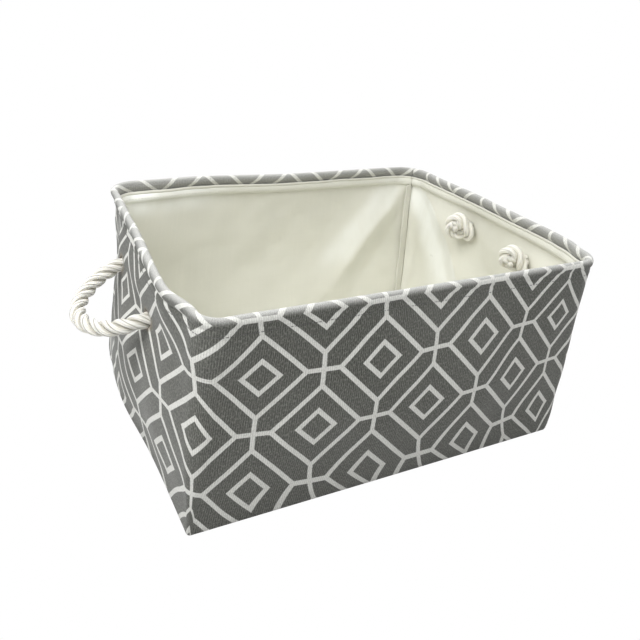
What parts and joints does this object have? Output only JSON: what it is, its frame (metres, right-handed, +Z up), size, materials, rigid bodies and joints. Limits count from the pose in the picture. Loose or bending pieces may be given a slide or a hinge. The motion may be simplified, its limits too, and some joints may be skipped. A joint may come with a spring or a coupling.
{
  "type": "fabric storage bin",
  "caption": "Open rectangular soft storage bin of printed cloth with a coated lining, a wired rim and knotted rope loop handles on its short sides.",
  "frame": {"origin": "centre of the bottom panel, on the floor", "axes": "+Z up, +X along the long side towards one rope handle, -Y out of the long front side"},
  "size_m": [0.5216, 0.3132, 0.204],
  "materials": {
    "printed_cloth": "mid grey ribbed cotton and linen cloth with a pale concentric diamond print, matte",
    "coated_lining": "cream cloth with a smooth coating, satin",
    "spring_wire": "plain drawn spring steel",
    "sewing_thread": "grey polyester sewing thread",
    "cotton_rope": "undyed cotton rope, three twisted strands, matte"
  },
  "bodies": {
    "bin": {"wall_cloth": "printed_cloth", "wall_lining": "coated_lining", "base_cloth": "printed_cloth", "base_lining": "coated_lining", "rim_wire": "spring_wire", "rim_wire_sleeve": "spring_wire", "hem_stitching": "sewing_thread", "corner_seam_allowance": "coated_lining", "corner_seam_stitching": "sewing_thread", "base_seam_allowance": "coated_lining", "base_seam_stitching": "sewing_thread", "left_front_knot": "cotton_rope", "left_back_knot": "cotton_rope", "right_front_knot": "cotton_rope", "right_back_knot": "cotton_rope"},
    "left_handle": {"left_handle_rope": "cotton_rope"},
    "right_handle": {"right_handle_rope": "cotton_rope"}
  },
  "joints": [
    {"name": "left_handle_swing", "type": "hinge", "parent": "bin", "child": "left_handle", "pos_m": [-0.20868, 0, 0.157], "axis": [0, 1, 0], "range_deg": [-37, 100]},
    {"name": "right_handle_swing", "type": "hinge", "parent": "bin", "child": "right_handle", "pos_m": [0.20868, 0, 0.157], "axis": [0, -1, 0], "range_deg": [-37, 100]}
  ]
}
